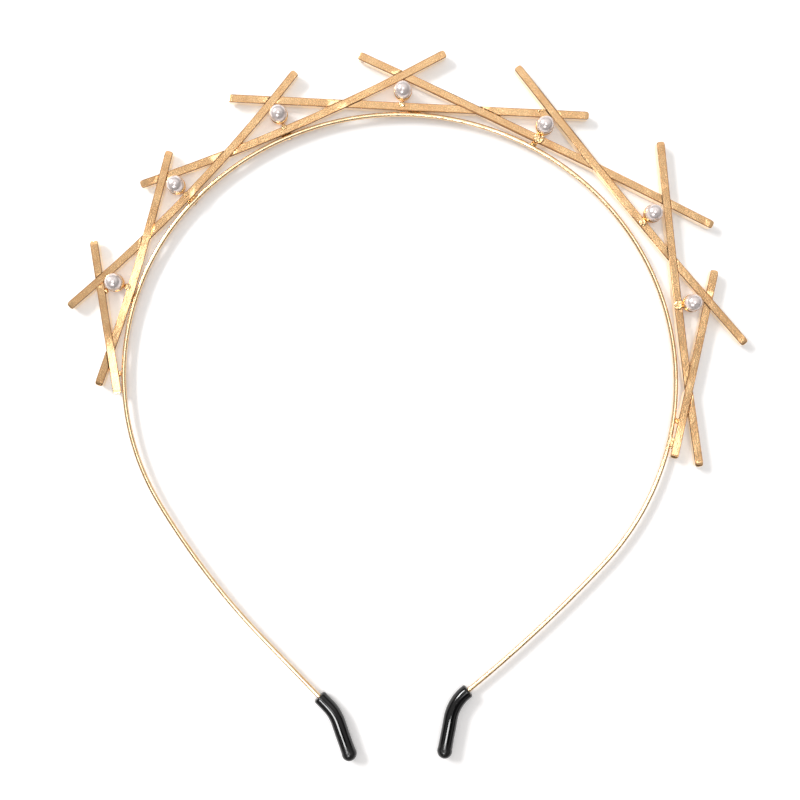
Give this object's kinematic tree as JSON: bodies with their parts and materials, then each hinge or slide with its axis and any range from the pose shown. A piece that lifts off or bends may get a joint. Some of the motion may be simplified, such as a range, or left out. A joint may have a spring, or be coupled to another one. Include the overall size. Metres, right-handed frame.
{
  "type": "crown headband",
  "caption": "Wire headband crown whose top arc carries a nest of crossed gold bars, with a pearl in a small cup in each gap and rubber caps on the wire's ends.",
  "frame": {"origin": "centre of the band's top arc in the plane of its wire, where the middle of the wearer's head comes", "axes": "+Y to the top of the crown, +X to the right as the picture shows it, +Z out of the band's plane to the side the pearls face"},
  "size_m": [0.1582, 0.1657, 0.0067],
  "materials": {
    "band_wire": "drawn round wire, bright gold plating",
    "bars": "matt sandblasted gold plating",
    "cups": "pressed cup, bright gold plating",
    "pegs": "gold plated pin, hidden",
    "solder": "lumpy solder under gold plating",
    "pearls": "imitation pearl with a nacre coat",
    "end_caps": "dipped black rubber, glossy"
  },
  "bodies": {
    "root": {"headband_wire": "band_wire", "bar_left_low": "bars", "bar_left_side": "bars", "bar_left_shoulder": "bars", "bar_left_top": "bars", "bar_center": "bars", "bar_right_top": "bars", "bar_right_shoulder": "bars", "bar_right_side": "bars", "bar_right_low": "bars", "pearl_cup_1": "cups", "pearl_cup_2": "cups", "pearl_cup_3": "cups", "pearl_cup_4": "cups", "pearl_cup_5": "cups", "pearl_cup_6": "cups", "pearl_cup_7": "cups", "pearl_1": "pearls", "pearl_2": "pearls", "pearl_3": "pearls", "pearl_4": "pearls", "pearl_5": "pearls", "pearl_6": "pearls", "pearl_7": "pearls", "pearl_pegs": "pegs", "end_cap_left": "end_caps", "end_cap_right": "end_caps", "band_solder": "solder", "cup_solder": "solder"}
  },
  "joints": []
}
